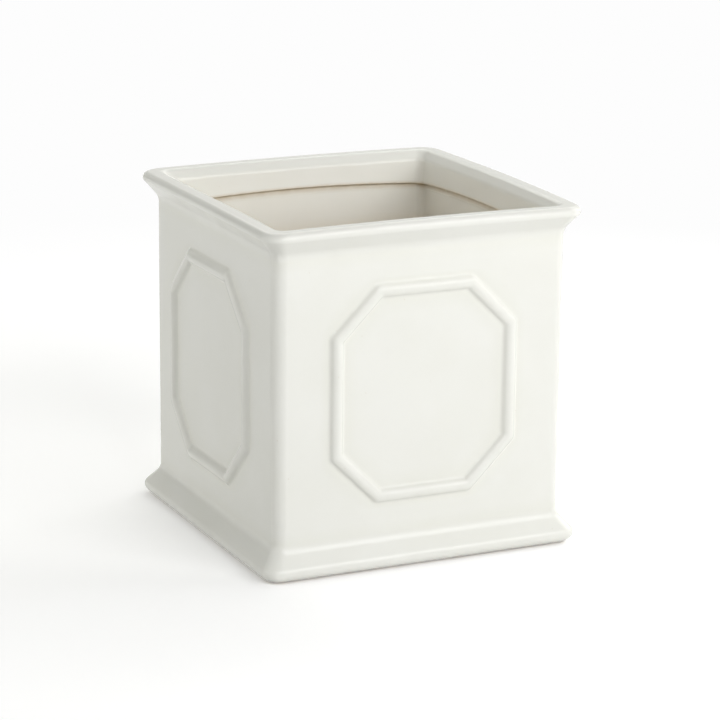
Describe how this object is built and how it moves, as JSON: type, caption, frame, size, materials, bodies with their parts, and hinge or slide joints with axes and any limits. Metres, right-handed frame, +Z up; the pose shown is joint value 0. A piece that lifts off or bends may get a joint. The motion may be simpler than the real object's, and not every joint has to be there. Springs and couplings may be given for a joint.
{
  "type": "square ceramic planter",
  "caption": "Square glazed ceramic planter with flared lip and base, a raised eight-sided moulding on each wall, rubber feet and a lift-out stopper in the floor's drain hole.",
  "frame": {"origin": "under the middle of the planter, at the level of the surface that its feet stand on", "axes": "+Z up; the front wall faces -Y and the left wall in the picture faces -X"},
  "size_m": [0.2, 0.2, 0.2032],
  "materials": {
    "glazed_stoneware": "satin gloss, cream white",
    "stopper_rubber": "matt, dark grey",
    "foot_rubber": "matt, milky white"
  },
  "bodies": {
    "planter": {"planter_body": "glazed_stoneware", "foot_pad_front_left": "foot_rubber", "foot_pad_front_right": "foot_rubber", "foot_pad_back_left": "foot_rubber", "foot_pad_back_right": "foot_rubber"},
    "plug": {"drain_plug": "stopper_rubber"}
  },
  "joints": [
    {"name": "plug_lift", "type": "slide", "parent": "planter", "child": "plug", "axis": [0, 0, 1], "range_m": [0, 0.04]}
  ]
}
